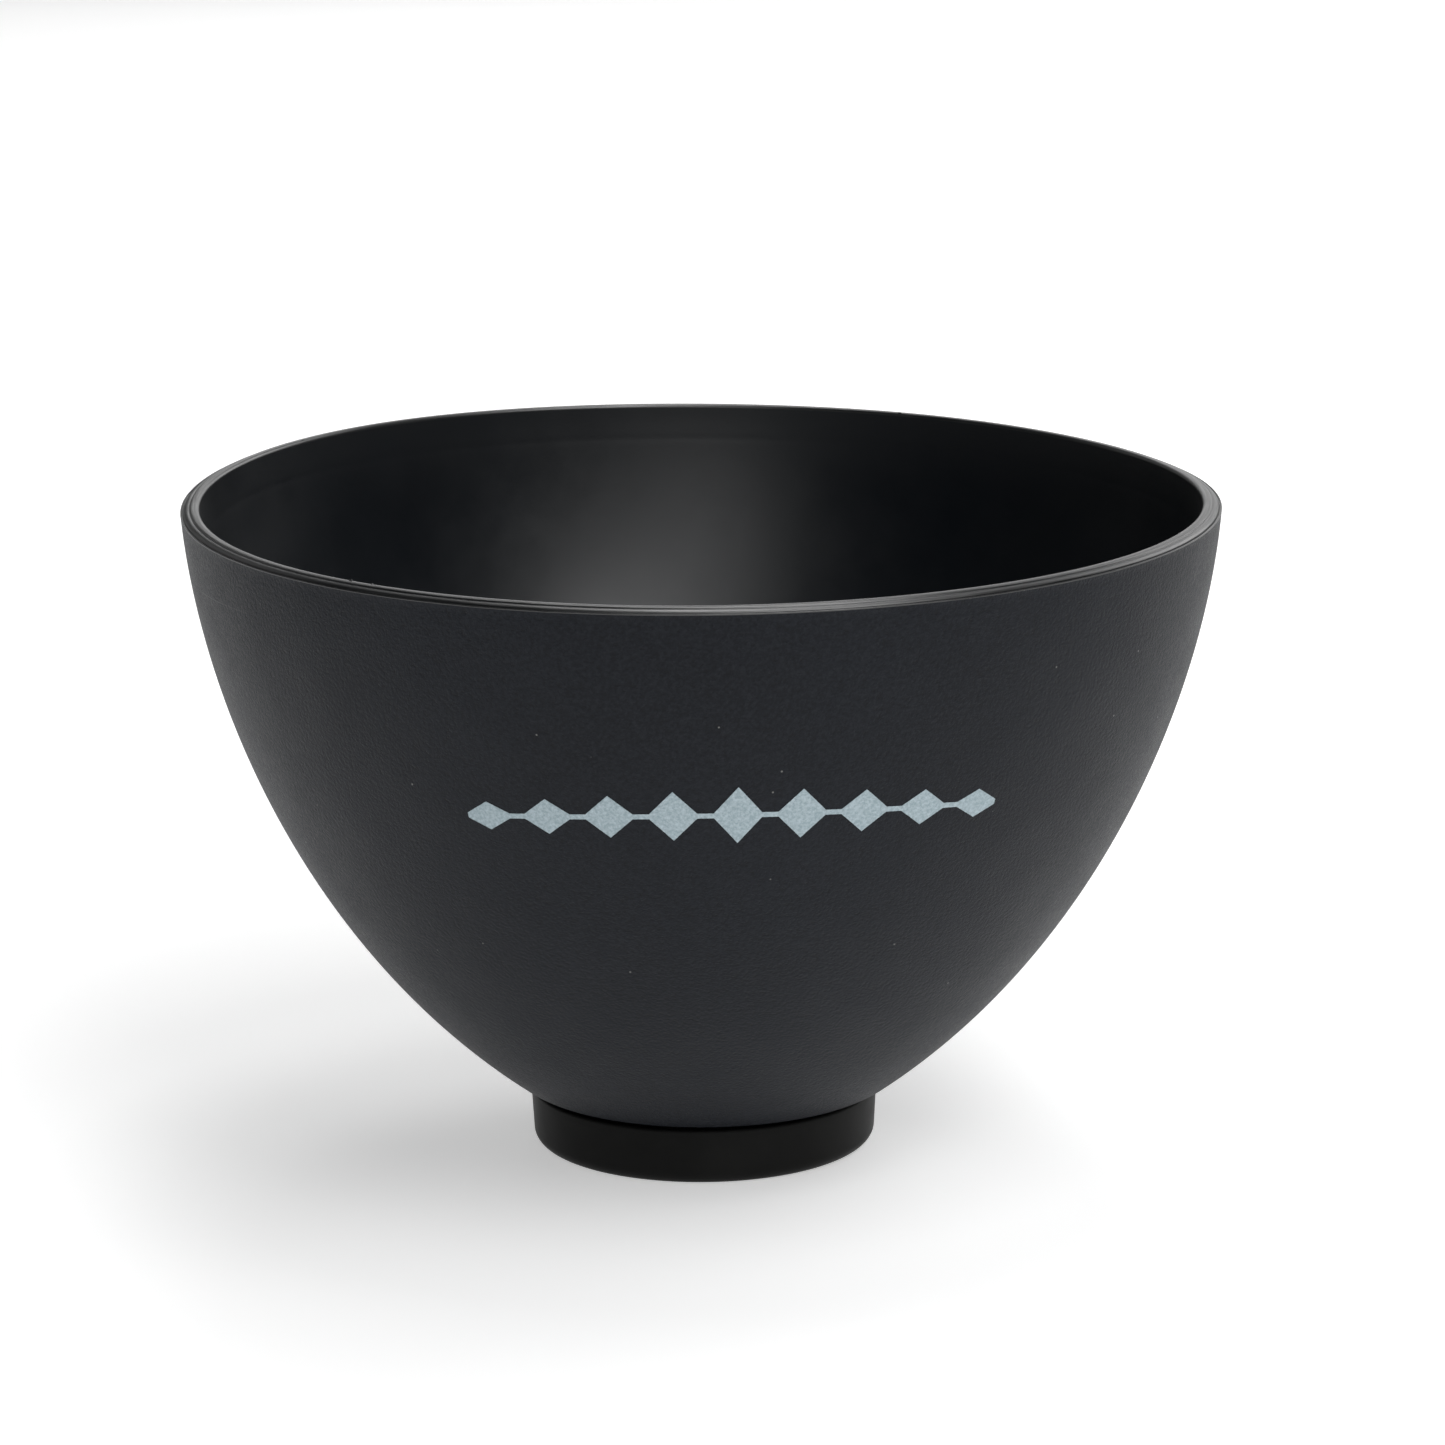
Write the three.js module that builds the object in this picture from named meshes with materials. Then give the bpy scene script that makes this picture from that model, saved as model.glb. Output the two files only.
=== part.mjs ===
// Flexible rubber mixing bowl on a low foot ring, with one printed band on its front.
// Millimetres, +Z up. The origin is the centre of the ring's resting face and -Y is the printed front.

import * as THREE from 'three';

// Driving dimensions.
const RIM_RADIUS = 60; // the mould's parting line, the widest place
const HEIGHT = 76.8;
const SEAM_HEIGHT = 6.57; // middle of the seam between the bowl and its foot ring
const SEAM_GAP = 0.3;
const ROUND_STEPS = 72;

// Outside of the wall: one smooth curve from the seam up to the parting line.
const WALL_FOOT = { radius: 20.6, height: SEAM_HEIGHT + SEAM_GAP / 2 };
const WALL_BELLY = { radius: 47.1, height: 24.9 };
const WALL_SHOULDER = { radius: 58.4, height: 55.8 };
const WALL_TOP = { radius: RIM_RADIUS, height: HEIGHT - 0.7 };
const WALL_STEPS = 18;

// Inside of the wall: the outside offset by the thickness, down to where the floor sweeps in.
const RIM_THICKNESS = 2.2;
const BASE_THICKNESS = 3;
const FLOOR_HEIGHT = 9.6;
const SWEEP_START = 0.1; // share of the wall curve, counted from the seam
const SWEEP_STEPS = 6;

// Rim: a rounded top that steps in a little where the two halves of the mould met.
const PARTING_STEP = 0.12;
const SHOULDER_RADIUS = 0.6;
const LIP_RADIUS = 0.5;
const CORNER_STEPS = 3;

// Foot ring: a short open ring under the bowl.
const RING_TOP_RADIUS = 20.35;
const RING_BOTTOM_RADIUS = 20.1;
const RING_HEIGHT = SEAM_HEIGHT - SEAM_GAP / 2;
const RING_HOLE_TOP_RADIUS = 16.4;
const RING_HOLE_BOTTOM_RADIUS = 16.8;
const RING_OUTER_ROUNDING = 1.6;
const RING_INNER_ROUNDING = 0.5;
const RING_EDGE_BREAK = 0.3;

// Printed band: a chain of diamonds that shrink towards both ends, on a fine line.
const BAND_HEIGHT = 52.9; // height of its middle above the resting face
const BAND_BOW = 1.4; // how much lower its ends lie
const DIAMONDS = 9;
const DIAMOND_PITCH = 7;
const DIAMOND_HALF_WIDTH = 2.6;
const MIDDLE_HALF_HEIGHT = 3.4;
const END_HALF_HEIGHT = 1.7;
const LINE_HALF_HEIGHT = 0.3;
const INK_DEPTH = 0.2;
const INK_GAP = 0.3;

function material(color, roughness) {
  return new THREE.MeshStandardMaterial({ color, roughness, metalness: 0 });
}

function named(name, geometry, look) {
  const mesh = new THREE.Mesh(geometry, look);
  mesh.name = name;
  return mesh;
}

function point({ radius, height }) {
  return new THREE.Vector2(radius, height);
}

// Turns a profile of (radius, height) points about the vertical axis.
function turned(profile) {
  const geometry = new THREE.LatheGeometry(profile, ROUND_STEPS);
  return geometry.rotateX(Math.PI / 2);
}

function arc(centreRadius, centreHeight, radius, fromDegrees, toDegrees) {
  const points = [];
  for (let step = 0; step <= CORNER_STEPS; step += 1) {
    const degrees = THREE.MathUtils.lerp(fromDegrees, toDegrees, step / CORNER_STEPS);
    const angle = THREE.MathUtils.degToRad(degrees);
    const x = centreRadius + radius * Math.cos(angle);
    const y = centreHeight + radius * Math.sin(angle);
    points.push(new THREE.Vector2(x, y));
  }
  return points;
}

const wallCurve = new THREE.CubicBezierCurve(
  point(WALL_FOOT),
  point(WALL_BELLY),
  point(WALL_SHOULDER),
  point(WALL_TOP),
);

function innerPoint(share) {
  const outer = wallCurve.getPoint(share);
  const tangent = wallCurve.getTangent(share);
  const thickness = THREE.MathUtils.lerp(BASE_THICKNESS, RIM_THICKNESS, share);
  return new THREE.Vector2(outer.x - tangent.y * thickness, outer.y + tangent.x * thickness);
}

// From the wall's inside down and in to the middle of the floor, level at the axis.
function floorSweep() {
  const start = innerPoint(SWEEP_START);
  const tangent = wallCurve.getTangent(SWEEP_START);
  const reach = ((start.y - FLOOR_HEIGHT) * tangent.x) / tangent.y;
  const corner = new THREE.Vector2(start.x - reach, FLOOR_HEIGHT);
  const middle = new THREE.Vector2(0, FLOOR_HEIGHT);
  return new THREE.QuadraticBezierCurve(start, corner, middle).getPoints(SWEEP_STEPS);
}

function insideWall() {
  const points = [];
  for (let step = WALL_STEPS - 1; step > WALL_STEPS * SWEEP_START + 0.5; step -= 1) {
    points.push(innerPoint(step / WALL_STEPS));
  }
  return points;
}

function rimProfile() {
  const shoulder = RIM_RADIUS - PARTING_STEP - SHOULDER_RADIUS;
  const lip = innerPoint(1).x + LIP_RADIUS;
  return [
    ...arc(shoulder, HEIGHT - SHOULDER_RADIUS, SHOULDER_RADIUS, 0, 90),
    ...arc(lip, HEIGHT - LIP_RADIUS, LIP_RADIUS, 90, 180),
  ];
}

function bowlBody() {
  const profile = [
    new THREE.Vector2(0, WALL_FOOT.height),
    ...wallCurve.getPoints(WALL_STEPS),
    ...rimProfile(),
    ...insideWall(),
    ...floorSweep(),
  ];
  return named('bowl_body', turned(profile), material(0x26282c, 0.75));
}

function footRing() {
  const top = RING_HEIGHT - RING_EDGE_BREAK;
  const outerCorner = RING_BOTTOM_RADIUS - RING_OUTER_ROUNDING;
  const innerCorner = RING_HOLE_BOTTOM_RADIUS + RING_INNER_ROUNDING;
  const profile = [
    ...arc(outerCorner, RING_OUTER_ROUNDING, RING_OUTER_ROUNDING, -90, 0),
    new THREE.Vector2(RING_TOP_RADIUS, top),
    new THREE.Vector2(RING_TOP_RADIUS - RING_EDGE_BREAK, RING_HEIGHT),
    new THREE.Vector2(RING_HOLE_TOP_RADIUS, RING_HEIGHT),
    ...arc(innerCorner, RING_INNER_ROUNDING, RING_INNER_ROUNDING, 180, 270),
  ];
  profile.push(profile[0].clone());
  return named('foot_ring', turned(profile), material(0x1b1b1b, 0.5));
}

// Radius of the outside wall at a height, found by halving along the wall curve.
function wallRadiusAt(height) {
  let low = 0;
  let high = 1;
  for (let step = 0; step < 30; step += 1) {
    const share = (low + high) / 2;
    if (wallCurve.getPoint(share).y < height) low = share;
    else high = share;
  }
  return wallCurve.getPoint(low).x;
}

// Where the chain's outline turns: the left corner, the middle and the right corner of each diamond.
function chainStations() {
  const last = (DIAMONDS - 1) / 2;
  const stations = [];
  for (let place = -last; place <= last; place += 1) {
    const middle = place * DIAMOND_PITCH;
    const share = Math.abs(place) / last;
    const tip = THREE.MathUtils.lerp(MIDDLE_HALF_HEIGHT, END_HALF_HEIGHT, share);
    stations.push({ along: middle - DIAMOND_HALF_WIDTH, halfHeight: LINE_HALF_HEIGHT });
    stations.push({ along: middle, halfHeight: tip });
    stations.push({ along: middle + DIAMOND_HALF_WIDTH, halfHeight: LINE_HALF_HEIGHT });
  }
  return stations;
}

// A bar with one joint at each station, pulled to the chain's outline and bent round the wall.
function printedBand() {
  const stations = chainStations();
  const spans = stations.length - 1;
  const geometry = new THREE.BoxGeometry(spans, 2, INK_DEPTH, spans, 1, 1);
  const places = geometry.attributes.position;
  const bandRadius = wallRadiusAt(BAND_HEIGHT);
  const halfLength = stations[spans].along;
  for (let i = 0; i < places.count; i += 1) {
    const { along, halfHeight } = stations[Math.round(places.getX(i) + spans / 2)];
    const angle = along / bandRadius;
    const bow = BAND_BOW * (along / halfLength) ** 2;
    const height = BAND_HEIGHT + places.getY(i) * halfHeight - bow;
    const radius = wallRadiusAt(height) + INK_GAP + INK_DEPTH / 2 + places.getZ(i);
    places.setXYZ(i, radius * Math.sin(angle), -radius * Math.cos(angle), height);
  }
  geometry.computeVertexNormals();
  return named('printed_band', geometry, material(0x8fa3ad, 0.6));
}

const bowl = new THREE.Group();
bowl.add(bowlBody());
bowl.add(footRing());
bowl.add(printedBand());

export default bowl;
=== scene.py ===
import math

import bmesh
import bpy
from mathutils import Matrix, Vector, noise


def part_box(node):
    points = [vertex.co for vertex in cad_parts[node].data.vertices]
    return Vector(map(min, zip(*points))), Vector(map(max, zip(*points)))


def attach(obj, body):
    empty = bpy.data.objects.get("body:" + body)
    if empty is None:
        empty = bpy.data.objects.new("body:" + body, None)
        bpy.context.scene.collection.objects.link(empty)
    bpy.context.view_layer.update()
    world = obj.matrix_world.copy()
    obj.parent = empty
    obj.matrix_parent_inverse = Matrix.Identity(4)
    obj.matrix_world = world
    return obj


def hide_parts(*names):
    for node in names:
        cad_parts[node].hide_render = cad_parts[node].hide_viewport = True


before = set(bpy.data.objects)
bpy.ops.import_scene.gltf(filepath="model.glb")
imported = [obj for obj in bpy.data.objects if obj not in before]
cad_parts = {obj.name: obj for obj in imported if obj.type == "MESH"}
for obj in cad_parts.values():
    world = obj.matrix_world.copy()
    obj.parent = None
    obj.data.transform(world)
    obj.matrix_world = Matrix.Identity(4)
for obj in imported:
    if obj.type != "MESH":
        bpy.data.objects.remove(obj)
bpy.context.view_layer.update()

MM = 0.001

# ---------------------------------------------------------------- sizes, in millimetres

BODY_LOW, BODY_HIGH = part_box("bowl_body")
_, RING_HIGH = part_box("foot_ring")

RIM_RADIUS = BODY_HIGH.x / MM
HEIGHT = BODY_HIGH.z / MM
UNDERSIDE = BODY_LOW.z / MM
RING_RADIUS = RING_HIGH.x / MM
RING_HEIGHT = RING_HIGH.z / MM

# The wall's outside is one Bezier curve in the (radius, height) plane. Its two inner points are
# shares of the bowl's radius and height.
FOOT_OUTSET = 0.25  # how far the wall starts outside the foot ring
LOW_BEND = Vector((0.785 * RIM_RADIUS, 0.3242 * HEIGHT))
HIGH_BEND = Vector((0.9733 * RIM_RADIUS, 0.7266 * HEIGHT))
WALL_TOP_INSET, WALL_TOP_DROP = 0.02, 0.72
WALL_CURVE = (
    Vector((RING_RADIUS + FOOT_OUTSET, UNDERSIDE)),
    LOW_BEND,
    HIGH_BEND,
    Vector((RIM_RADIUS - WALL_TOP_INSET, HEIGHT - WALL_TOP_DROP)),
)
RIM_THICKNESS = 2.2
BASE_THICKNESS = 3.0
FLOOR_HEIGHT = 9.6  # of the bowl's inside floor
SWEEP_START = 0.1  # share of the wall curve where the inside begins to sweep in to its floor

SEGMENTS = 480
WALL_STEPS = 64
SWEEP_STEPS = 24
CREASE_STEPS = 6
ON_AXIS = 1e-6  # a point nearer to the axis than this closes the surface

# ---------------------------------------------------------------- mesh tools


def smoothstep(low, high, value):
    share = min(1.0, max(0.0, (value - low) / (high - low)))
    return share * share * (3 - 2 * share)


def bezier(points, share):
    a, b, c, d = points
    rest = 1 - share
    return a * rest**3 + b * 3 * rest**2 * share + c * 3 * rest * share**2 + d * share**3


def bezier_direction(points, share):
    a, b, c, d = points
    rest = 1 - share
    slope = (b - a) * rest**2 + (c - b) * 2 * rest * share + (d - c) * share**2
    return slope.normalized()


def bend(start, corner, end, share):
    rest = 1 - share
    return start * rest**2 + corner * 2 * rest * share + end * share**2


def oval_arc(centre, width, height, start, end, steps):
    """An oval's arc in the (radius, height) plane, between two angles in degrees."""
    points = []
    for step in range(steps + 1):
        angle = math.radians(start + (end - start) * step / steps)
        points.append(centre + Vector((width * math.cos(angle), height * math.sin(angle))))
    return points


def arc(centre, radius, start, end, steps):
    return oval_arc(centre, radius, radius, start, end, steps)


def placed(radius, angle, height):
    """A place in metres, from millimetres and an angle in radians that is 0 at the front."""
    return radius * math.sin(angle) * MM, -radius * math.cos(angle) * MM, height * MM


def offset_points(radius, height, offsets):
    return [Vector((radius + out, height + up)) for out, up in offsets]


def scene_object(name, mesh, finishes):
    """Turns a bmesh into an object of the scene, with its materials."""
    data = bpy.data.meshes.new(name)
    mesh.to_mesh(data)
    mesh.free()
    for look in finishes:
        data.materials.append(look)
    thing = bpy.data.objects.new(name, data)
    bpy.context.scene.collection.objects.link(thing)
    return thing


def turned_mesh(name, profile, closed, displace, finishes):
    """A body of revolution. profile holds (point, finish number) pairs in millimetres, and
    displace gives a point's own radius and height at an angle."""
    mesh = bmesh.new()
    rings = []
    for point, _ in profile:
        if point.x < ON_AXIS:
            rings.append([mesh.verts.new((0, 0, point.y * MM))])
            continue
        ring = []
        for step in range(SEGMENTS):
            angle = 2 * math.pi * step / SEGMENTS
            radius, height = displace(point, angle)
            ring.append(mesh.verts.new(placed(radius, angle, height)))
        rings.append(ring)
    pairs = list(zip(range(len(rings) - 1), range(1, len(rings))))
    if closed:
        pairs.append((len(rings) - 1, 0))
    for here, there in pairs:
        finish = profile[there][1]
        for step in range(SEGMENTS):
            after = (step + 1) % SEGMENTS
            low, high = rings[here], rings[there]
            if len(low) == 1:
                corners = [low[0], high[after], high[step]]
            elif len(high) == 1:
                corners = [low[step], low[after], high[0]]
            else:
                corners = [low[step], low[after], high[after], high[step]]
            face = mesh.faces.new(corners)
            face.smooth = True
            face.material_index = finish
    bmesh.ops.recalc_face_normals(mesh, faces=mesh.faces)
    return scene_object(name, mesh, finishes)


# ---------------------------------------------------------------- the bowl's shape

OUTSIDE, SATIN, RIM = 0, 1, 2  # the finishes' places in the bowl's list of materials

# A very shallow band runs round the inside a little below the lip.
INSIDE_BAND_DROP = 4.2
INSIDE_BAND_HALF_WIDTH = 0.45
INSIDE_BAND_DEPTH = 0.012
INSIDE_BAND_TOP = 0.957  # share of the wall curve where the extra rings for the band begin
INSIDE_BAND_STEP = 0.0037
INSIDE_BAND_RINGS = 9

# The rim, as places (out, up) in millimetres. The ridge and the groove are measured from the rim's
# radius at the ridge's height, the hairline and the lip's top from the inner wall at full height.
RIDGE_HEIGHT = HEIGHT - 0.68
RIDGE = ((0, 0), (-0.010, 0.060), (-0.040, 0.105), (-0.090, 0.105), (-0.120, 0.060))
RIM_GROOVE = ((-0.135, -0.020), (-0.180, -0.050), (-0.260, -0.050), (-0.295, -0.010))
CROWN_INSET, CROWN_DROP = 1.10, 0.62
CROWN_WIDTH, CROWN_RISE = 0.79, 0.40
CROWN_END = 80
CROWN_STEPS = 14
HAIRLINE = ((1.19, -0.240), (1.14, -0.230))
LIP_TOP = (
    (1.12, -0.130),
    (1.08, -0.095),
    (0.98, -0.060),
    (0.84, -0.030),
    (0.70, -0.011),
    (0.56, -0.003),
)
LIP_ROUNDING = 0.42
LIP_STEPS = 10

# The parting line wavers a little. Each wave is (rate round the bowl, seed, amount).
RIDGE_WAVER = ((14, 3.0, 0.03), (45, 7.0, 0.02))
RIDGE_WAVER_REACH = 0.09
RIM_SKIN = 0.5  # points nearer to the outside than this may waver

# The seam: the wall's rounded bottom edge turns in over a groove to the foot ring, and behind the
# groove the two pieces meet without a visible gap.
SEAM = UNDERSIDE + 0.45
SEAM_INSET = 0.3
CREASE_SHARE = 0.026
UNDERSIDE_SHARES = (0, 0.45, 0.8, 1)
CONTACT_GAP = 0.02
GROOVE_WIDTH = 0.48
GROOVE_DEPTH = 1.1
GROOVE_LEAN = 0.05

# The foot ring. Its sides are (inset from its radius, height).
FOOT_INSET = 0.25
FOOT_ROUNDING = 1.6
FOOT_STEPS = 12
RING_SIDE = ((0.14, RING_HEIGHT * 0.55), (0.03, RING_HEIGHT - 0.9))
RING_EDGE = 0.35
HOLE_TOP, HOLE_BOTTOM = 16.4, 16.8
HOLE_CHAMFER = 0.3
HOLE_STRAIGHT_END = 0.6
HOLE_ROUNDING = 0.5
EDGE_STEPS = 6

# Soft rubber takes a set: the far side of the rim stands up on one side and dips on the other.
# Each wave is (azimuth of its middle in degrees, half width in degrees, lift in millimetres).
RIM_WAVES = ((226, 44, 1.08), (118, 28, -0.27))
WAVE_BELOW_RIM = 40.0
WAVE_POWER = 1.5


def azimuth_gap(angle, middle):
    """Degrees between an angle in radians and an azimuth in degrees, from 0 to 180."""
    gap = (math.degrees(angle) - middle) % 360
    return min(gap, 360 - gap)


def rim_lift(angle, height):
    lift = 0.0
    for middle, width, amount in RIM_WAVES:
        gap = azimuth_gap(angle, middle) / width
        lift += amount * math.exp(-gap * gap)
    return lift * smoothstep(HEIGHT - WAVE_BELOW_RIM, HEIGHT, height) ** WAVE_POWER


def around(angle, rate, seed):
    """Seamless noise round the bowl, about -1 to 1."""
    spot = Vector((math.cos(angle) * rate, math.sin(angle) * rate, seed))
    return noise.noise(spot)


def displace_bowl(point, angle):
    radius, height = point
    near_ridge = math.exp(-(((height - RIDGE_HEIGHT) / RIDGE_WAVER_REACH) ** 2))
    if radius > RIM_RADIUS - RIM_SKIN:
        waver = sum(amount * around(angle, rate, seed) for rate, seed, amount in RIDGE_WAVER)
        radius += near_ridge * waver
    return radius, height + rim_lift(angle, height)


def inner_point(share):
    outer = bezier(WALL_CURVE, share)
    direction = bezier_direction(WALL_CURVE, share)
    thickness = BASE_THICKNESS + (RIM_THICKNESS - BASE_THICKNESS) * share
    return outer + Vector((-direction.y, direction.x)) * thickness


def inside_wall_points():
    """From just under the lip down to the floor sweep, with the faint band inside."""
    lowest = int(WALL_STEPS * SWEEP_START) + 1
    shares = [step / WALL_STEPS for step in range(WALL_STEPS - 1, lowest, -1)]
    shares += [INSIDE_BAND_TOP - INSIDE_BAND_STEP * step for step in range(INSIDE_BAND_RINGS)]
    points = []
    for share in sorted(set(shares), reverse=True):
        point = inner_point(share)
        off = (HEIGHT - INSIDE_BAND_DROP - point.y) / INSIDE_BAND_HALF_WIDTH
        points.append(point + Vector((INSIDE_BAND_DEPTH * math.exp(-off * off), 0)))
    return points


def floor_points():
    start = inner_point(SWEEP_START)
    direction = bezier_direction(WALL_CURVE, SWEEP_START)
    reach = (start.y - FLOOR_HEIGHT) * direction.x / direction.y
    corner = Vector((start.x - reach, FLOOR_HEIGHT))
    middle = Vector((0, FLOOR_HEIGHT))
    points = []
    for step in range(SWEEP_STEPS + 1):
        points.append(bend(start, corner, middle, step / SWEEP_STEPS))
    return points


def rim_points():
    """From the wall over the parting line and its groove, up the crown, over a hairline and the lip."""
    inner = inner_point(1).x
    ridge = offset_points(RIM_RADIUS, RIDGE_HEIGHT, RIDGE)
    groove = offset_points(RIM_RADIUS, RIDGE_HEIGHT, RIM_GROOVE)
    crown_centre = Vector((RIM_RADIUS - CROWN_INSET, HEIGHT - CROWN_DROP))
    crown = oval_arc(crown_centre, CROWN_WIDTH, CROWN_RISE, 0, CROWN_END, CROWN_STEPS)
    hairline = offset_points(inner, HEIGHT, HAIRLINE)
    lip_top = offset_points(inner, HEIGHT, LIP_TOP)
    lip_centre = Vector((inner + LIP_ROUNDING, HEIGHT - LIP_ROUNDING))
    lip = arc(lip_centre, LIP_ROUNDING, 90, 180, LIP_STEPS)
    return ridge + groove + crown + hairline + lip_top + lip


def bowl_profile():
    seam_radius = RING_RADIUS - SEAM_INSET
    underside = [Vector((seam_radius * share, SEAM)) for share in UNDERSIDE_SHARES]
    wall_start = bezier(WALL_CURVE, CREASE_SHARE)
    slope = bezier_direction(WALL_CURVE, CREASE_SHARE)
    corner = wall_start - slope * (wall_start.y - SEAM) / slope.y
    crease = []
    for step in range(1, CREASE_STEPS):
        crease.append(bend(underside[-1], corner, wall_start, step / CREASE_STEPS))
    wall = []
    for step in range(WALL_STEPS + 1):
        wall.append(bezier(WALL_CURVE, CREASE_SHARE + (1 - CREASE_SHARE) * step / WALL_STEPS))
    profile = [(point, OUTSIDE) for point in underside + crease + wall]
    profile += [(point, RIM) for point in rim_points()]
    profile += [(point, SATIN) for point in inside_wall_points() + floor_points()]
    return profile


def ring_profile():
    top = SEAM - CONTACT_GAP
    ledge = SEAM - GROOVE_WIDTH
    groove_radius = RING_RADIUS - GROOVE_DEPTH
    outer_centre = Vector((RING_RADIUS - FOOT_INSET - FOOT_ROUNDING, FOOT_ROUNDING))
    outer = arc(outer_centre, FOOT_ROUNDING, -90, 0, FOOT_STEPS)
    side = [Vector((RING_RADIUS - inset, height)) for inset, height in RING_SIDE]
    edge = arc(Vector((RING_RADIUS - RING_EDGE, ledge - RING_EDGE)), RING_EDGE, 0, 90, EDGE_STEPS)
    groove = [Vector((groove_radius, ledge)), Vector((groove_radius - GROOVE_LEAN, top))]
    hole = [
        Vector((HOLE_TOP + HOLE_CHAMFER, top)),
        Vector((HOLE_TOP, top - HOLE_CHAMFER)),
        Vector((HOLE_BOTTOM, HOLE_STRAIGHT_END)),
    ]
    foot_centre = Vector((HOLE_BOTTOM + HOLE_ROUNDING, HOLE_ROUNDING))
    foot = arc(foot_centre, HOLE_ROUNDING, 180, 270, EDGE_STEPS)
    return [(point, OUTSIDE) for point in outer + side + edge + groove + hole + foot]


# ---------------------------------------------------------------- flash left by the mould

# Tiny nibs of rubber: (azimuth in degrees, length, height), in millimetres.
LIP_FLASH = (
    (-44.8, 0.55, 0.15),
    (-41.7, 0.40, 0.10),
    (63.0, 0.35, 0.08),
    (151.0, 0.50, 0.10),
    (-128.0, 0.40, 0.09),
)
PARTING_FLASH = (
    (24.8, 0.50, 0.09),
    (31.5, 0.30, 0.06),
    (-8.5, 0.25, 0.05),
    (112.0, 0.45, 0.08),
    (-152.0, 0.40, 0.07),
)
LIP_NIB_WIDTH = 0.11
PARTING_NIB_HEIGHT = 0.07
LIP_NIB_INSET, LIP_NIB_DROP = 0.30, 0.02  # from the inner wall and the top
PARTING_NIB_INSET = 0.03
NIB_ROUGHNESS = 0.25
NIB_ROUGH_RATE = 1.7


def add_nib(mesh, azimuth, place, length, reach):
    """One low lump on the rim. place is its middle in the (radius, height) plane, and reach its
    half sizes there."""
    angle = math.radians(azimuth)
    made = bmesh.ops.create_icosphere(mesh, subdivisions=3, radius=1.0)
    for vert in made["verts"]:
        spot = vert.co * NIB_ROUGH_RATE + Vector((azimuth, 0.0, 0.0))
        rough = 1 + NIB_ROUGHNESS * noise.noise(spot)
        along = vert.co.x * rough * length / 2
        radius = place.x + vert.co.y * rough * reach.x
        height = place.y + vert.co.z * rough * reach.y + rim_lift(angle, place.y)
        turn = angle + along / place.x
        vert.co = Vector((radius * math.sin(turn), -radius * math.cos(turn), height)) * MM


def mould_flash(look):
    mesh = bmesh.new()
    lip = Vector((inner_point(1).x + LIP_NIB_INSET, HEIGHT - LIP_NIB_DROP))
    for azimuth, length, rise in LIP_FLASH:
        add_nib(mesh, azimuth, lip, length, Vector((LIP_NIB_WIDTH, rise)))
    parting = Vector((RIM_RADIUS - PARTING_NIB_INSET, RIDGE_HEIGHT))
    for azimuth, length, rise in PARTING_FLASH:
        add_nib(mesh, azimuth, parting, length, Vector((rise, PARTING_NIB_HEIGHT)))
    for face in mesh.faces:
        face.smooth = True
    return scene_object("mould_flash", mesh, [look])


# ---------------------------------------------------------------- the printed band

# A chain of diamonds on a fine line, in millimetres round the wall and up. Its ends bow down.
DIAMONDS = 9
DIAMOND_PITCH = 7.0
DIAMOND_HALF_WIDTH = 2.6
MIDDLE_HALF_HEIGHT = 3.4
END_HALF_HEIGHT = 1.7
LINE_HALF_HEIGHT = 0.3
BAND_HEIGHT = 52.9
BAND_BOW = 1.4
INK_LIFT = 0.006  # off the wall, so that the film's back doesn't flicker against it
INK_DEPTH = 0.03
INK_STEP = 0.2
INK_ROWS = 10
INK_RAGGED = 0.03
INK_RAGGED_RATE = 3.1
TOP_SEED, BOTTOM_SEED = 5.0, 9.0
HALVINGS = 40


def wall_radius(height):
    """The wall's outer radius at a height, by halving the range of shares of the curve."""
    low, high = 0.0, 1.0
    for _ in range(HALVINGS):
        middle = (low + high) / 2
        if bezier(WALL_CURVE, middle).y < height:
            low = middle
        else:
            high = middle
    return bezier(WALL_CURVE, low).x


def chain_half_height(along):
    """Half the printed chain's height at a distance along it from the middle."""
    last = (DIAMONDS - 1) / 2
    place = max(-last, min(last, round(along / DIAMOND_PITCH)))
    tip = MIDDLE_HALF_HEIGHT + (END_HALF_HEIGHT - MIDDLE_HALF_HEIGHT) * abs(place) / last
    across = abs(along - place * DIAMOND_PITCH) / DIAMOND_HALF_WIDTH
    return LINE_HALF_HEIGHT + (tip - LINE_HALF_HEIGHT) * max(0.0, 1 - across)


def ragged_edge(along, seed):
    return INK_RAGGED * noise.noise(Vector((along * INK_RAGGED_RATE, seed, 0.0)))


def ink_sheet(mesh, depth, band_radius, half_length, columns):
    """One side of the ink, as columns of corners from the lower edge to the upper."""
    sheet = []
    for column in range(columns + 1):
        along = -half_length + 2 * half_length * column / columns
        half = chain_half_height(along)
        top = half + ragged_edge(along, TOP_SEED)
        bottom = -half + ragged_edge(along, BOTTOM_SEED)
        bow = BAND_BOW * (along / half_length) ** 2
        line = []
        for row in range(INK_ROWS + 1):
            height = BAND_HEIGHT - bow + bottom + (top - bottom) * row / INK_ROWS
            radius = wall_radius(height) + depth
            line.append(mesh.verts.new(placed(radius, along / band_radius, height)))
        sheet.append(line)
    return sheet


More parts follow.
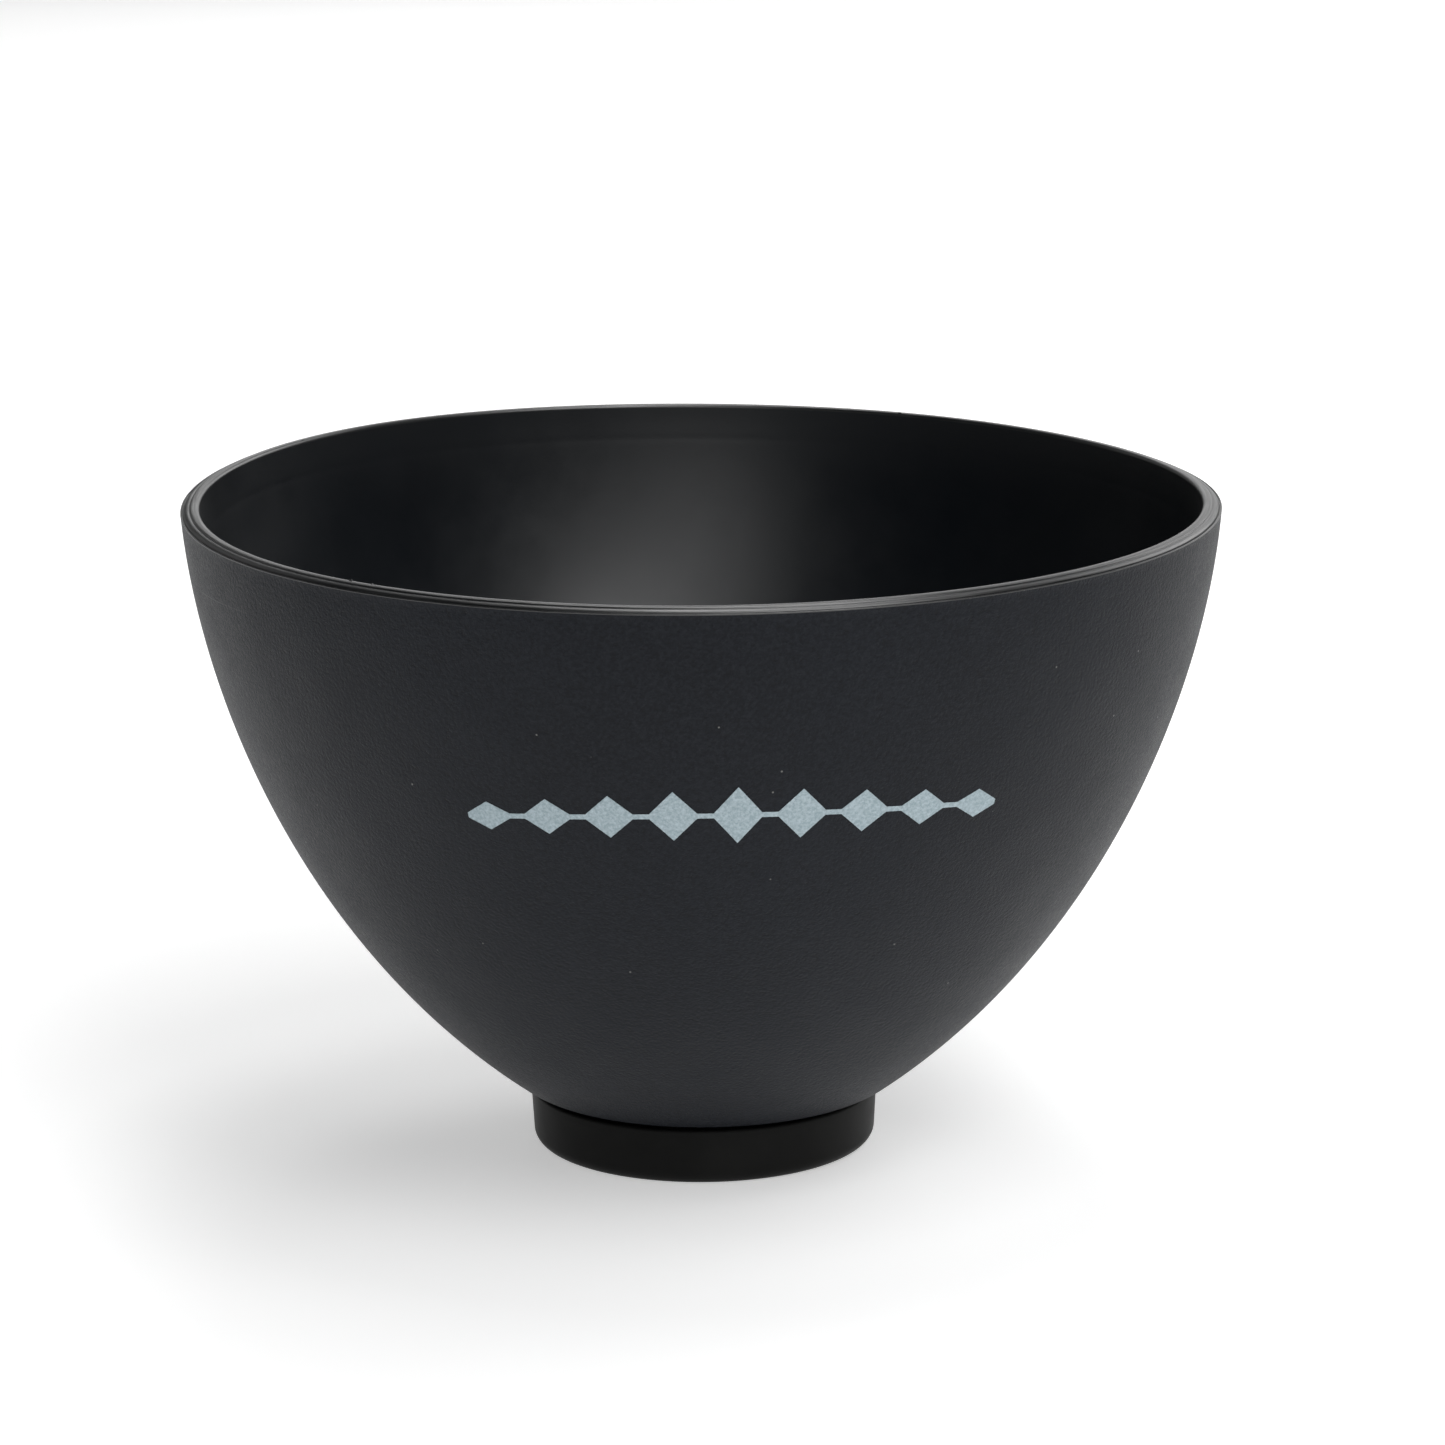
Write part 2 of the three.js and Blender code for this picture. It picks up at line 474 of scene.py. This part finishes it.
def printed_band(look):
    """The printed chain of diamonds, a closed film of ink on the wall."""
    band_radius = wall_radius(BAND_HEIGHT)
    half_length = (DIAMONDS - 1) / 2 * DIAMOND_PITCH + DIAMOND_HALF_WIDTH
    columns = round(2 * half_length / INK_STEP)
    mesh = bmesh.new()
    low = ink_sheet(mesh, INK_LIFT, band_radius, half_length, columns)
    high = ink_sheet(mesh, INK_LIFT + INK_DEPTH, band_radius, half_length, columns)
    for side, sheet in enumerate((low, high)):
        for column in range(columns):
            here, there = sheet[column], sheet[column + 1]
            for row in range(INK_ROWS):
                corners = [here[row], there[row], there[row + 1], here[row + 1]]
                mesh.faces.new(corners if side else corners[::-1])
    for column in range(columns):
        after = column + 1
        mesh.faces.new([low[column][0], low[after][0], high[after][0], high[column][0]])
        mesh.faces.new([low[after][-1], low[column][-1], high[column][-1], high[after][-1]])
    for row in range(INK_ROWS):
        mesh.faces.new([low[0][row + 1], low[0][row], high[0][row], high[0][row + 1]])
        mesh.faces.new([low[-1][row], low[-1][row + 1], high[-1][row + 1], high[-1][row]])
    bmesh.ops.recalc_face_normals(mesh, faces=mesh.faces)
    return scene_object("printed_ink", mesh, [look])


# ---------------------------------------------------------------- materials


class Nodes:
    """A short way to write a material's node tree."""

    def __init__(self, name):
        self.material = bpy.data.materials.new(name)
        self.material.use_nodes = True
        self.tree = self.material.node_tree
        self.tree.nodes.clear()
        self.shader = self.add("ShaderNodeBsdfPrincipled")
        output = self.add("ShaderNodeOutputMaterial")
        self.link(self.shader.outputs[0], output.inputs["Surface"])
        self.place = self.add("ShaderNodeTexCoord").outputs["Object"]

    def add(self, kind, **settings):
        node = self.tree.nodes.new(kind)
        for key, value in settings.items():
            setattr(node, key, value)
        return node

    def link(self, start, end):
        self.tree.links.new(start, end)

    def noise(self, size, detail, roughness):
        """Noise whose lumps are about size metres across."""
        node = self.add("ShaderNodeTexNoise")
        self.link(self.place, node.inputs["Vector"])
        node.inputs["Scale"].default_value = 1 / size
        node.inputs["Detail"].default_value = detail
        node.inputs["Roughness"].default_value = roughness
        return node.outputs["Fac"]

    def ramp(self, value, low, high, start, end):
        """Maps value from low..high to start..end, clamped."""
        node = self.add("ShaderNodeMapRange")
        self.link(value, node.inputs["Value"])
        node.inputs["From Min"].default_value = low
        node.inputs["From Max"].default_value = high
        node.inputs["To Min"].default_value = start
        node.inputs["To Max"].default_value = end
        return node.outputs["Result"]

    def math(self, operation, first, second):
        node = self.add("ShaderNodeMath", operation=operation)
        for socket, value in zip(node.inputs, (first, second)):
            if isinstance(value, (int, float)):
                socket.default_value = value
            else:
                self.link(value, socket)
        return node.outputs[0]

    def mix(self, share, first, second):
        node = self.add("ShaderNodeMix", data_type="RGBA")
        self.link(share, node.inputs["Factor"])
        for socket, value in ((node.inputs[6], first), (node.inputs[7], second)):
            if isinstance(value, tuple):
                socket.default_value = (*value, 1.0)
            else:
                self.link(value, socket)
        return node.outputs[2]

    def turned_place(self):
        """The place on the object as radius, azimuth (radians, 0 at the front) and height."""
        split = self.add("ShaderNodeSeparateXYZ")
        self.link(self.place, split.inputs[0])
        x, y, z = split.outputs
        squares = self.math("ADD", self.math("MULTIPLY", x, x), self.math("MULTIPLY", y, y))
        radius = self.math("SQRT", squares, 0)
        azimuth = self.math("ARCTAN2", x, self.math("MULTIPLY", y, -1))
        return radius, azimuth, z

    def streaks(self, across, along):
        """Noise drawn out round the axis: along is a streak's length in metres, and across its
        size in radius and height."""
        radius, azimuth, z = self.turned_place()
        join = self.add("ShaderNodeCombineXYZ")
        self.link(self.math("MULTIPLY", radius, 1 / across), join.inputs[0])
        self.link(self.math("MULTIPLY", azimuth, RIM_RADIUS * MM / along), join.inputs[1])
        self.link(self.math("MULTIPLY", z, 1 / across), join.inputs[2])
        node = self.add("ShaderNodeTexNoise")
        self.link(join.outputs[0], node.inputs["Vector"])
        node.inputs["Scale"].default_value = 1.0
        node.inputs["Detail"].default_value = STREAK_DETAIL
        return node.outputs["Fac"]

    def specks(self, cell, radius):
        """1 inside small round specks of about that radius, one to each cell of space, else 0."""
        node = self.add("ShaderNodeTexVoronoi")
        self.link(self.place, node.inputs["Vector"])
        node.inputs["Scale"].default_value = 1 / cell
        edge, core = radius / cell, SPECK_CORE * radius / cell
        return self.ramp(node.outputs["Distance"], edge, core, 0.0, 1.0)

    def mottled(self, value, low, high, colors):
        """Two colours mixed by a value: the first at low and the second at high."""
        return self.mix(self.ramp(value, low, high, 0, 1), *colors)

    def bump(self, height, strength, distance, under=None):
        node = self.add("ShaderNodeBump")
        self.link(height, node.inputs["Height"])
        node.inputs["Strength"].default_value = strength
        node.inputs["Distance"].default_value = distance
        if under is not None:
            self.link(under, node.inputs["Normal"])
        return node.outputs["Normal"]

    def finish(self, color, roughness, normal):
        self.link(color, self.shader.inputs["Base Color"])
        self.link(roughness, self.shader.inputs["Roughness"])
        self.link(normal, self.shader.inputs["Normal"])
        return self.material


OUTSIDE_GLOSS = 0.185
INSIDE_GLOSS = 0.85
RIM_GLOSS = 1.0
FOOT_GLOSS = 0.06
FLOOR_GLOW = 0.45
SPECK_CORE = 0.6  # share of a speck's radius inside which it has its full colour

# Colours, linear, the darker one of each pair first.
OUTSIDE_COLORS = (0.0046, 0.0062, 0.0098), (0.0060, 0.0080, 0.0122)
GRAIN_DARK, GRAIN_PALE = (0.0010, 0.0014, 0.0030), (0.0150, 0.0170, 0.0215)
SPECK_COLOR = (0.22, 0.22, 0.21)
LINE_COLOR = (0.10, 0.10, 0.10)
INSIDE_COLORS = (0.0002, 0.0017, 0.0038), (0.0005, 0.0024, 0.0050)
RIM_COLORS = (0.0040, 0.0044, 0.0050), (0.0110, 0.0118, 0.0128)
WORN_COLOR = (0.022, 0.023, 0.024)
FOOT_COLORS = (0.0092, 0.0093, 0.0090), (0.0125, 0.0126, 0.0121)
INK_COLORS = (0.27, 0.35, 0.385), (0.44, 0.53, 0.57)
PAPER_COLORS = (0.86, 0.86, 0.86), (0.88, 0.88, 0.88)
WHITE = (1.0, 1.0, 1.0, 1.0)

# Procedural textures, as (size in metres, detail, roughness).
OUTSIDE_MOTTLE = (0.03, 3.0, 0.6)
OUTSIDE_WEAR = (0.008, 3.0, 0.6)
FINE_GRAIN = (0.00045, 2.0, 0.7)
MICRO_GRAIN = (0.00022, 3.0, 0.65)
LEATHER_GRAIN = (0.0011, 2.0, 0.5)
INSIDE_MOTTLE = (0.025, 3.0, 0.6)
INSIDE_WEAR = (0.006, 4.0, 0.6)
INSIDE_GRAIN = (0.0006, 3.0, 0.6)
RIM_WEAR = (0.012, 3.0, 0.6)
RIM_GRAIN = (0.0003, 3.0, 0.6)
FOOT_MOTTLE = (0.012, 3.0, 0.6)
FOOT_WEAR = (0.005, 3.0, 0.6)
FOOT_GRAIN = (0.0004, 3.0, 0.6)
INK_MOTTLE = (0.00035, 3.0, 0.7)
PAPER_MOTTLE = (0.2, 3.0, 0.5)
PAPER_GRAIN = (0.002, 3.0, 0.6)
SPECK_CELL, SPECK_RADIUS = 0.0045, 0.00014
STREAK_ACROSS, STREAK_ALONG = 0.00022, 0.009
STREAK_DETAIL = 2.0

# The part of a texture's values over which two colours are mixed.
BROAD_RANGE = (0.35, 0.65)
STREAK_RANGE = (0.42, 0.62)
INK_RANGE = (0.38, 0.66)
PAPER_RANGE = (0.3, 0.7)

# Bumps, as (strength, distance in metres).
MICRO_BUMP = (0.9, 0.00006)
FINE_BUMP = (1.0, 0.00012)
LEATHER_BUMP = (0.15, 0.00006)
INSIDE_BUMP = (0.12, 0.00004)
STREAK_BUMP = (0.2, 0.00004)
RIM_BUMP = (0.15, 0.00003)
FOOT_BUMP = (0.15, 0.00003)
INK_BUMP = (0.2, 0.00003)
PAPER_BUMP = (0.02, 0.00005)

# What a texture's value is mapped to, as (low, high, result at low, result at high).
OUTSIDE_ROUGHNESS = (0.3, 0.7, 0.41, 0.46)
GRAIN_ROUGHNESS = (0.3, 0.7, 0.0, 0.13)
INSIDE_ROUGHNESS = (0.3, 0.7, 0.36, 0.42)
RIM_ROUGHNESS = (0.3, 0.7, 0.30, 0.42)
FOOT_ROUGHNESS = (0.3, 0.7, 0.42, 0.48)
INK_ROUGHNESS = (0.3, 0.7, 0.55, 0.7)
PAPER_ROUGHNESS = (0.3, 0.7, 0.85, 0.95)
GRAIN_PALE_SHARE = (0.48, 0.72, 0.0, 0.7)
GRAIN_DARK_SHARE = (0.50, 0.30, 0.0, 0.7)
WORN_SHARE = (0.5, 0.75, 0.0, 0.5)
SPECK_STRENGTH = 0.8
LINE_STRENGTH = 0.35

# A faint line scratched into the mould, high on the left: azimuths in degrees, heights in millimetres.
LINE_START, LINE_END = -78.0, -60.0
LINE_HEIGHT = 70.0
LINE_RISE = 0.6
LINE_HALF_WIDTH = 0.1
LINE_CORE = 0.3  # share of the half width inside which the line has its full strength
LINE_FADE = 3.0  # degrees over which it begins
LINE_END_FADE = 3  # times as long where it ends


def faint_line(look):
    """1 on the line, fading at its ends, else 0."""
    _, azimuth, z = look.turned_place()
    start, end = math.radians(LINE_START), math.radians(LINE_END)
    level = look.ramp(azimuth, start, end, LINE_HEIGHT * MM, (LINE_HEIGHT + LINE_RISE) * MM)
    off = look.math("ABSOLUTE", look.math("SUBTRACT", z, level), 0)
    across = look.ramp(off, LINE_HALF_WIDTH * MM, LINE_CORE * LINE_HALF_WIDTH * MM, 0.0, 1.0)
    fade = math.radians(LINE_FADE)
    begins = look.ramp(azimuth, start, start + fade, 0.0, 1.0)
    ends = look.ramp(azimuth, end - LINE_END_FADE * fade, end, 1.0, 0.0)
    return look.math("MULTIPLY", across, look.math("MULTIPLY", begins, ends))


def matte_rubber():
    """The outside: blasted mould finish, a fine grain, sparse pale specks and the faint line."""
    look = Nodes("outside_matte")
    color = look.mottled(look.noise(*OUTSIDE_MOTTLE), *BROAD_RANGE, OUTSIDE_COLORS)
    fine = look.noise(*FINE_GRAIN)
    color = look.mix(look.ramp(fine, *GRAIN_PALE_SHARE), color, GRAIN_PALE)
    color = look.mix(look.ramp(fine, *GRAIN_DARK_SHARE), color, GRAIN_DARK)
    speck = look.specks(SPECK_CELL, SPECK_RADIUS)
    color = look.mix(look.math("MULTIPLY", speck, SPECK_STRENGTH), color, SPECK_COLOR)
    color = look.mix(look.math("MULTIPLY", faint_line(look), LINE_STRENGTH), color, LINE_COLOR)
    normal = look.bump(look.noise(*MICRO_GRAIN), *MICRO_BUMP)
    normal = look.bump(fine, *FINE_BUMP, normal)
    normal = look.bump(look.noise(*LEATHER_GRAIN), *LEATHER_BUMP, normal)
    wear = look.ramp(look.noise(*OUTSIDE_WEAR), *OUTSIDE_ROUGHNESS)
    roughness = look.math("ADD", wear, look.ramp(fine, *GRAIN_ROUGHNESS))
    look.shader.inputs["Specular IOR Level"].default_value = OUTSIDE_GLOSS
    return look.finish(color, roughness, normal)


def satin_rubber():
    """The inside: the polished half of the mould, nearly smooth."""
    look = Nodes("inside_satin")
    color = look.mottled(look.noise(*INSIDE_MOTTLE), *BROAD_RANGE, INSIDE_COLORS)
    normal = look.bump(look.noise(*INSIDE_GRAIN), *INSIDE_BUMP)
    roughness = look.ramp(look.noise(*INSIDE_WEAR), *INSIDE_ROUGHNESS)
    look.shader.inputs["Specular IOR Level"].default_value = INSIDE_GLOSS
    return look.finish(color, roughness, normal)


def rim_rubber():
    """The rim's top: satin, with fine streaks round the rim and a few worn, paler places."""
    look = Nodes("rim_satin")
    streak = look.streaks(STREAK_ACROSS, STREAK_ALONG)
    color = look.mottled(streak, *STREAK_RANGE, RIM_COLORS)
    worn = look.ramp(look.noise(*RIM_WEAR), *WORN_SHARE)
    color = look.mix(worn, color, WORN_COLOR)
    normal = look.bump(streak, *STREAK_BUMP)
    normal = look.bump(look.noise(*RIM_GRAIN), *RIM_BUMP, normal)
    roughness = look.ramp(streak, *RIM_ROUGHNESS)
    look.shader.inputs["Specular IOR Level"].default_value = RIM_GLOSS
    return look.finish(color, roughness, normal)


def ring_rubber():
    """The foot: smooth satin rubber, a little warmer and darker than the wall."""
    look = Nodes("foot_satin")
    color = look.mottled(look.noise(*FOOT_MOTTLE), *BROAD_RANGE, FOOT_COLORS)
    normal = look.bump(look.noise(*FOOT_GRAIN), *FOOT_BUMP)
    roughness = look.ramp(look.noise(*FOOT_WEAR), *FOOT_ROUGHNESS)
    look.shader.inputs["Specular IOR Level"].default_value = FOOT_GLOSS
    return look.finish(color, roughness, normal)


def print_ink():
    """Screen-printed ink: matt, slightly mottled and uneven."""
    look = Nodes("screen_ink")
    mottle = look.noise(*INK_MOTTLE)
    color = look.mottled(mottle, *INK_RANGE, INK_COLORS)
    normal = look.bump(mottle, *INK_BUMP)
    roughness = look.ramp(mottle, *INK_ROUGHNESS)
    return look.finish(color, roughness, normal)


def floor_paper():
    """White paper that glows a little, so that the shadow on it stays faint."""
    look = Nodes("floor_paper")
    soft = look.noise(*PAPER_MOTTLE)
    color = look.mottled(soft, *PAPER_RANGE, PAPER_COLORS)
    normal = look.bump(look.noise(*PAPER_GRAIN), *PAPER_BUMP)
    roughness = look.ramp(soft, *PAPER_ROUGHNESS)
    look.shader.inputs["Emission Color"].default_value = WHITE
    look.shader.inputs["Emission Strength"].default_value = FLOOR_GLOW
    return look.finish(color, roughness, normal)


# ---------------------------------------------------------------- the pieces

RING_OFFSET = Vector((-0.00033, 0.0, 0.0))  # the foot sits a little off the wall's axis


def build_bowl():
    rim = rim_rubber()
    finishes = [matte_rubber(), satin_rubber(), rim]
    bowl = turned_mesh("bowl_rubber", bowl_profile(), False, displace_bowl, finishes)
    flash = mould_flash(rim)
    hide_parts("bowl_body")
    for piece in (bowl, flash):
        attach(piece, "root")


def undisplaced(point, angle):
    return tuple(point)


def build_ring():
    finishes = [ring_rubber()]
    ring = turned_mesh("foot_ring_rubber", ring_profile(), True, undisplaced, finishes)
    ring.data.transform(Matrix.Translation(RING_OFFSET))
    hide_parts("foot_ring")
    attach(ring, "root")


def build_band():
    band = printed_band(print_ink())
    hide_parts("printed_band")
    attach(band, "root")


# ---------------------------------------------------------------- stage, light and camera

VIEW_AZIMUTH = math.radians(-4.0)  # the print is a little to the right of the middle
VIEW_ELEVATION = math.radians(13.46)
VIEW_ROLL = math.radians(-0.50)
VIEW_DISTANCE = 0.703
VIEW_TARGET = Vector((0.00224, 0.0, 0.05008))  # seen from azimuth 0
IMAGE_SIDE = 1445
FOCAL_PIXELS = 6030.0
SENSOR = 36.0
CLIP_NEAR, CLIP_FAR = 0.01, 20
PAPER_REACH = 6  # half the side of the sheet on the floor, in metres
PAPER_CELLS = 24
SOFTBOX_DISTANCE = 1.2
SOFTBOX_AIM = Vector((0, 0, 0.04))
# Softboxes as (name, azimuth, elevation, width, height, watts), by angles in degrees round the
# bowl: azimuth 0 is at the camera and 90 is on the right. Sizes are in metres.
SOFTBOXES = (
    ("top_right_box", 45, 65, 0.6, 0.6, 4.0),
    ("front_right_box", 30, 45, 0.6, 0.6, 4.1),
    ("rear_right_box", 138, 27, 0.75, 0.65, 3.8),
    ("rear_top_box", 180, 54, 0.3, 0.5, 2.0),
    ("top_box", 160, 78, 0.3, 0.5, 2.6),
    ("rear_low_box", 176, 16, 0.7, 0.45, 1.25),
    ("rear_left_box", -135, 25, 0.9, 0.6, 0.45),
    ("front_box", 0, 25, 0.6, 0.6, 1.2),
)
HORIZON_LIGHT = 0.45
ZENITH_LIGHT = 0.01
# The sky's height, as the z of a direction, at which the horizon begins and ends to fade.
FADE_START, FADE_END = 0.04, 0.12

TURN = Matrix.Rotation(VIEW_AZIMUTH, 4, "Z")


def build_camera():
    data = bpy.data.cameras.new("camera")
    data.sensor_width = SENSOR
    data.lens = FOCAL_PIXELS / IMAGE_SIDE * SENSOR
    data.clip_start, data.clip_end = CLIP_NEAR, CLIP_FAR
    camera = bpy.data.objects.new("camera", data)
    back = Vector((0, -math.cos(VIEW_ELEVATION), math.sin(VIEW_ELEVATION)))
    tilt = Matrix.Rotation(math.pi / 2 - VIEW_ELEVATION, 4, "X")
    roll = Matrix.Rotation(VIEW_ROLL, 4, "Z")
    place = Matrix.Translation(VIEW_TARGET + back * VIEW_DISTANCE)
    camera.matrix_world = TURN @ place @ tilt @ roll
    bpy.context.scene.collection.objects.link(camera)
    bpy.context.scene.camera = camera


def build_floor():
    """A wide sheet of white paper on the floor."""
    mesh = bmesh.new()
    bmesh.ops.create_grid(mesh, x_segments=PAPER_CELLS, y_segments=PAPER_CELLS, size=PAPER_REACH)
    floor = scene_object("floor", mesh, [floor_paper()])


def softbox(name, azimuth, elevation, width, height, watts):
    """A soft light that faces the bowl, as in SOFTBOXES. The camera doesn't see it."""
    data = bpy.data.lights.new(name, "AREA")
    data.shape = "RECTANGLE"
    data.size, data.size_y = width, height
    data.energy = watts
    light = bpy.data.objects.new(name, data)
    round_bowl, up = math.radians(azimuth), math.radians(elevation)
    level = math.cos(up)
    away = Vector((math.sin(round_bowl) * level, -math.cos(round_bowl) * level, math.sin(up)))
    turn = away.to_track_quat("Z", "Y").to_matrix().to_4x4()
    light.matrix_world = TURN @ Matrix.Translation(SOFTBOX_AIM + away * SOFTBOX_DISTANCE) @ turn
    light.visible_camera = False
    bpy.context.scene.collection.objects.link(light)


def build_sky():
    """The room: pale along the horizon and nearly dark overhead."""
    world = bpy.data.worlds.new("studio")
    world.use_nodes = True
    tree = world.node_tree
    coordinates = tree.nodes.new("ShaderNodeTexCoord")
    split = tree.nodes.new("ShaderNodeSeparateXYZ")
    fade = tree.nodes.new("ShaderNodeMapRange")
    tree.links.new(coordinates.outputs["Generated"], split.inputs[0])
    tree.links.new(split.outputs[2], fade.inputs["Value"])
    fade.inputs["From Min"].default_value = FADE_START
    fade.inputs["From Max"].default_value = FADE_END
    fade.inputs["To Min"].default_value = HORIZON_LIGHT
    fade.inputs["To Max"].default_value = ZENITH_LIGHT
    background = tree.nodes["Background"]
    tree.links.new(fade.outputs["Result"], background.inputs["Strength"])
    background.inputs["Color"].default_value = WHITE
    bpy.context.scene.world = world


def build_light():
    for name, azimuth, elevation, width, height, watts in SOFTBOXES:
        softbox(name, azimuth, elevation, width, height, watts)
    build_sky()
    bpy.context.scene.view_settings.view_transform = "Standard"


build_camera()
build_bowl()
build_ring()
build_band()
build_floor()
build_light()
